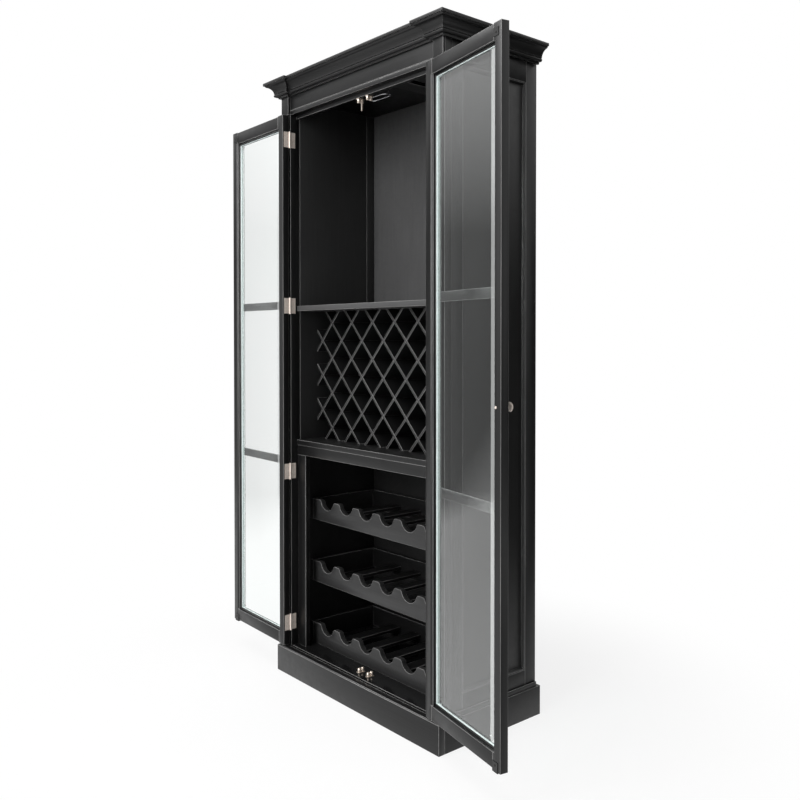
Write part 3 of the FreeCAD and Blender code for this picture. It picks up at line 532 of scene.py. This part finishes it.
def solids_group(name):
    """Geometry nodes that close the splits in a mesh, but keep touching solids apart."""
    group, entry = geometry_group(name)
    merged = add_node(
        group,
        "GeometryNodeMergeByDistance",
        inputs={"Geometry": entry, "Distance": weld_distance},
    ).outputs["Geometry"]
    faces = add_node(group, "GeometryNodeInputMeshEdgeNeighbors").outputs["Face Count"]
    shared = add_node(
        group,
        "FunctionNodeCompare",
        {"data_type": "INT", "operation": "GREATER_THAN"},
        {compare_counts[0]: faces, compare_counts[1]: faces_at_edge},
    ).outputs["Result"]
    split = add_node(
        group,
        "GeometryNodeSplitEdges",
        inputs={"Mesh": merged, "Selection": shared},
    ).outputs["Mesh"]
    add_node(group, "NodeGroupOutput", inputs={"Geometry": split})
    return group


def add_modifier(piece, kind, **settings):
    """A modifier with its settings, after those that the piece has."""
    modifier = piece.modifiers.new(kind.lower(), kind)
    for key, value in settings.items():
        setattr(modifier, key, value)


def joined_faces(piece):
    """Splits in the mesh close up, and flat stretches become single faces."""
    flat_limit = math.radians(flat_limit_deg)
    add_modifier(piece, "NODES", node_group=closed_solids)
    add_modifier(piece, "DECIMATE", decimate_type="DISSOLVE", angle_limit=flat_limit)


def eased_edges(piece, width):
    """Sharp edges get a small round, which carries the paler edge paint: partly wear, partly a painted
    highlight.
    """
    add_modifier(
        piece,
        "BEVEL",
        width=width,
        segments=edge_segments,
        limit_method="ANGLE",
        angle_limit=math.radians(edge_limit_deg),
        material=edge_wear_and_highlight_place,
    )


def paint_node(name, paint, edge_wear_and_highlight, width=edge_width):
    """A wooden CAD node in black paint with paler edges: partly wear, partly a painted highlight."""
    piece = frame["nodes"][name]
    piece.data.materials.clear()
    piece.data.materials.append(paint)
    piece.data.materials.append(edge_wear_and_highlight)
    joined_faces(piece)
    eased_edges(piece, width)
    add_modifier(piece, "NODES", node_group=soft_corners)


def paint_fronted(name, paint, edge_wear_and_highlight, front):
    """A wooden CAD node with its own paint on the faces that point to the front."""
    paint_node(name, paint, edge_wear_and_highlight)
    mesh = frame["nodes"][name].data
    mesh.materials.append(front)
    for face in mesh.polygons:
        if face.normal.y < -front_limit:
            face.material_index = front_place


def finish_node(name, finish, group):
    """A CAD node in one finish, such as metal or glass."""
    piece = frame["nodes"][name]
    piece.data.materials.clear()
    piece.data.materials.append(finish)
    add_modifier(piece, "NODES", node_group=closed_solids)
    add_modifier(piece, "NODES", node_group=group)


def finish_strikes(name, paint, screw_finish):
    """Painted strike plates, each with one dark screw."""
    mesh = frame["nodes"][name].data
    finish_node(name, paint, soft_rounds)
    mesh.materials.append(screw_finish)
    heights = [vertex.co.z for vertex in mesh.vertices]
    screws = (min(heights) + strike_screw_rise, max(heights) - strike_screw_drop)
    for face in mesh.polygons:
        for screw in screws:
            if all(abs(heights[index] - screw) < strike_screw_reach for index in face.vertices):
                face.material_index = screw_place


def glazing_seal(side, along, finish):
    """A thin pale seal that runs round the pane against the glazing beads."""
    beads = frame["nodes"][side + "_glass_beads"]
    inward = Vector((-along[1], along[0], 0.0))
    upward = Vector((0.0, 0.0, 1.0))
    along = Vector(along)
    points = [beads.matrix_world @ vertex.co for vertex in beads.data.vertices]
    low_x = min(point.dot(along) for point in points) + bead_width
    high_x = max(point.dot(along) for point in points) - bead_width
    low_z = min(point.z for point in points) + bead_width
    high_z = max(point.z for point in points) - bead_width
    near = min(point.dot(inward) for point in points)
    depths = (near - seal_sink, near + seal_height)
    inner_low_z = low_z + seal_level_width
    inner_high_z = high_z - seal_level_width
    strips = (
        ((low_x, high_x), (low_z, inner_low_z)),
        ((low_x, high_x), (inner_high_z, high_z)),
        ((low_x, low_x + seal_width), (inner_low_z, inner_high_z)),
        ((high_x - seal_width, high_x), (inner_low_z, inner_high_z)),
    )
    corners = []
    faces = []
    for span_x, span_z in strips:
        first = len(corners)
        places = [(x, y, z) for x in span_x for y in depths for z in span_z]
        corners += [along * x + inward * y + upward * z for x, y, z in places]
        faces += [[first + index for index in face] for face in box_faces]
    mesh = bpy.data.meshes.new(side + "_seal")
    mesh.from_pydata(corners, [], faces)
    mesh.materials.append(finish)
    piece = bpy.data.objects.new(side + "_seal", mesh)
    bpy.context.scene.collection.objects.link(piece)
    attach(piece, side)


def door_direction(turn_deg):
    """Where the closed front's +X points once the door is turned."""
    turn = math.radians(turn_deg)
    return (math.cos(turn), math.sin(turn), 0.0)


def build_floor():
    """A wide flat floor under the plinth."""
    corners = [(-1, -1), (1, -1), (1, 1), (-1, 1)]
    points = [(x * floor_half_size, y * floor_half_size, 0.0) for x, y in corners]
    mesh = bpy.data.meshes.new("floor")
    mesh.from_pydata(points, [], [(0, 1, 2, 3)])
    floor = bpy.data.objects.new("floor", mesh)
    bpy.context.scene.collection.objects.link(floor)
    floor.data.materials.append(floor_material())


def build_world():
    """White where it is looked at; where mirrored, brighter in front and overhead than at the sides."""
    world = bpy.data.worlds.new("studio")
    bpy.context.scene.world = world
    world.use_nodes = True
    tree = world.node_tree
    tree.nodes.clear()
    seen, mirrored = ray_kinds(tree)
    place = add_node(tree, "ShaderNodeTexCoord").outputs["Generated"]
    heading = vector_parts(tree, place)
    sides = spread(tree, heading["X"], sky_side_levels, *sky_sides)
    back = spread(tree, heading["Y"], (1.0, sky_back_share), *sky_back_span)
    front = spread(tree, heading["Y"], (sky_front, 0.0), *sky_front_span)
    toward_rim = vector_maths(tree, "DOT_PRODUCT", place, sky_rim_direction, output="Value")
    rim = spread(tree, toward_rim, (0.0, sky_rim), *sky_rim_span)
    level = maths(tree, "MULTIPLY_ADD", sides, back, maths(tree, "ADD", front, rim))
    start = spread(tree, heading["X"], sky_rise_starts, *sky_sides)
    overhead = maths(tree, "SUBTRACT", heading["Z"], start, clamp=True)
    glossy = maths(tree, "MULTIPLY_ADD", overhead, sky_rise, level, clamp=True)
    unseen = mixed_values(tree, mirrored, sky_diffuse, glossy)
    inputs = {"Color": white, "Strength": mixed_values(tree, seen, unseen, 1.0)}
    sky = add_node(tree, "ShaderNodeBackground", inputs=inputs).outputs["Background"]
    add_node(tree, "ShaderNodeOutputWorld", inputs={"Surface": sky})


def build_lamp(name, place, power, size):
    """A soft box aimed at the cabinet."""
    lamp = bpy.data.lights.new(name, "AREA")
    lamp.shape = "RECTANGLE"
    lamp.size, lamp.size_y = size
    lamp.energy = power
    holder = bpy.data.objects.new(name, lamp)
    holder.location = place
    toward = Vector(aim_point) - Vector(place)
    holder.rotation_euler = toward.to_track_quat("-Z", "Y").to_euler()
    bpy.context.scene.collection.objects.link(holder)


def build_camera():
    """The photograph's camera."""
    lens = bpy.data.cameras.new("camera")
    lens.sensor_width = sensor_width
    lens.lens = focal_pixels * sensor_width / image_pixels
    lens.shift_x = (image_pixels / 2 - principal_x) / image_pixels
    lens.shift_y = (principal_y - image_pixels / 2) / image_pixels
    holder = bpy.data.objects.new("camera", lens)
    holder.location = camera_place
    holder.rotation_euler = (
        math.radians(level_view_deg + camera_pitch_deg),
        0.0,
        math.radians(camera_yaw_deg),
    )
    bpy.context.scene.collection.objects.link(holder)
    bpy.context.scene.camera = holder


closed_solids = solids_group("closed_solids")
soft_corners = smooth_group("soft_corners", corner_smooth_deg)
soft_rounds = smooth_group("soft_rounds", round_smooth_deg)
flat_faces = smooth_group("flat_faces", pane_smooth_deg)

# Directions of the grain, each with its own edge paint: wear and a painted highlight
slat_length = math.hypot(lattice_half_width, lattice_half_height)
slat_run = lattice_half_width / slat_length
slat_rise = lattice_half_height / slat_length
directions = {
    "across": (1.0, 0.0, 0.0),
    "deep": (0.0, 1.0, 0.0),
    "upright": (0.0, 0.0, 1.0),
    "rising": (slat_run, 0.0, slat_rise),
    "falling": (slat_run, 0.0, -slat_rise),
    "left_door": door_direction(left_door_turn_deg),
    "right_door": door_direction(right_door_turn_deg),
}
edge_wear_and_highlights = {}
for grain, direction in directions.items():
    edge_wear_and_highlights[grain] = painted_wood("edge_wear_and_highlight_paint_" + grain, direction, edge_wear_and_highlight_look)

# Carcass and door frames
wood_grain = {
    "across": [
        "plinth_front",
        "plinth_bearer",
        "frieze",
        "top_stop",
        "crown_front",
        "top_board",
        "ceiling_board",
        "lattice_deck",
        "lattice_rail",
    ],
    "deep": [
        "plinth_returns",
        "side_base_strips",
        "crown_left",
        "crown_right",
        "stemware_rails",
        "rack_boxes",
        "rack_slats",
    ],
    "upright": [
        "left_post",
        "right_post",
        "corner_blocks",
        "left_side_frame",
        "left_side_panel",
        "right_side_frame",
        "right_side_panel",
        "panel_mouldings",
        "lower_stiles",
    ],
}
for side in door_sides:
    wood_grain["upright"] += [side + "_hinge_stile", side + "_free_stile", side + "_glass_beads"]
    wood_grain[side] = [side + "_rails"]
fine_edged = ["panel_mouldings", "left_door_glass_beads", "right_door_glass_beads"]
paints = {}
for grain, names in wood_grain.items():
    paints[grain] = painted_wood("black_paint_" + grain, directions[grain], frame_look)
    for name in names:
        width = fine_edge_width if name in fine_edged else edge_width
        paint_node(name, paints[grain], edge_wear_and_highlights[grain], width)

# Lattice slats, with painted light on their front faces: paler there than on the sides
for grain in ("rising", "falling"):
    direction = directions[grain]
    sides = painted_wood("slat_sides_" + grain, direction, frame_look, slat_side_shine)
    front = painted_wood("slat_painted_light_front_" + grain, direction, front_look)
    paint_fronted("lattice_" + grain + "_slats", sides, edge_wear_and_highlights[grain], front)

# Linings, shelf, muntins, rack fronts and bottom board
across = directions["across"]
upright = directions["upright"]
# The linings' paint has painted shade below the middle shelf
inner = painted_wood("lining_paint_painted_shade", upright, inner_look, painted_shade_share=inner_painted_shade_share)
paint_node("side_linings", inner, edge_wear_and_highlights["upright"])
paint_node("corner_cover_strips", inner, edge_wear_and_highlights["upright"], fine_edge_width)
shelf = painted_wood("shelf_paint", across, shelf_look)
for name in ("middle_shelf", "left_door_muntins", "right_door_muntins"):
    paint_node(name, shelf, edge_wear_and_highlights["across"])
rack_paint = painted_wood("rack_paint", across, front_look)
for name in ("lower_rack_front", "middle_rack_front", "upper_rack_front"):
    paint_node(name, rack_paint, edge_wear_and_highlights["across"])
gloss_paint = painted_wood("gloss_paint", across, gloss_look, gloss_shine)
paint_node("bottom_board", gloss_paint, edge_wear_and_highlights["across"])

# Back panel, with painted shade on its front faces inside the lower bays
board = painted_wood("black_board", upright, panel_look)
inner_board_painted_shade = painted_wood("inner_board_painted_shade", upright, panel_look, painted_shade_share=panel_painted_shade_share)
paint_fronted("back_panel", board, edge_wear_and_highlights["upright"], inner_board_painted_shade)

# Metal, glass and seals
nickel = smooth_finish("satin_nickel", nickel_look)
rosy = smooth_finish("rosy_nickel", rosy_look)
chrome = smooth_finish("bright_wire", wire_look)
dark_metal = smooth_finish("dark_bronze", bronze_look)
seal = smooth_finish("clear_seal", seal_look)
metal_nodes = ["frame_hinge_leaves", "hinge_pins", "frame_hinge_screws", "right_door_knob"]
for side in door_sides:
    metal_nodes += [side + "_hinge_leaves", side + "_screws"]
    finish_strikes(side + "_strikes", paints["upright"], dark_metal)
    finish_node(side + "_glass", clear_glass(side, directions[side]), flat_faces)
    glazing_seal(side, directions[side], seal)
for name in metal_nodes:
    finish_node(name, nickel, soft_rounds)
finish_node("door_catches", rosy, soft_rounds)
finish_node("wire_rack", chrome, soft_rounds)

# Surroundings
build_floor()
build_world()
build_lamp("key", key_place, key_power, key_size)
build_lamp("overhead", top_place, top_power, top_size)
build_camera()
bpy.context.scene.view_settings.view_transform = "Standard"
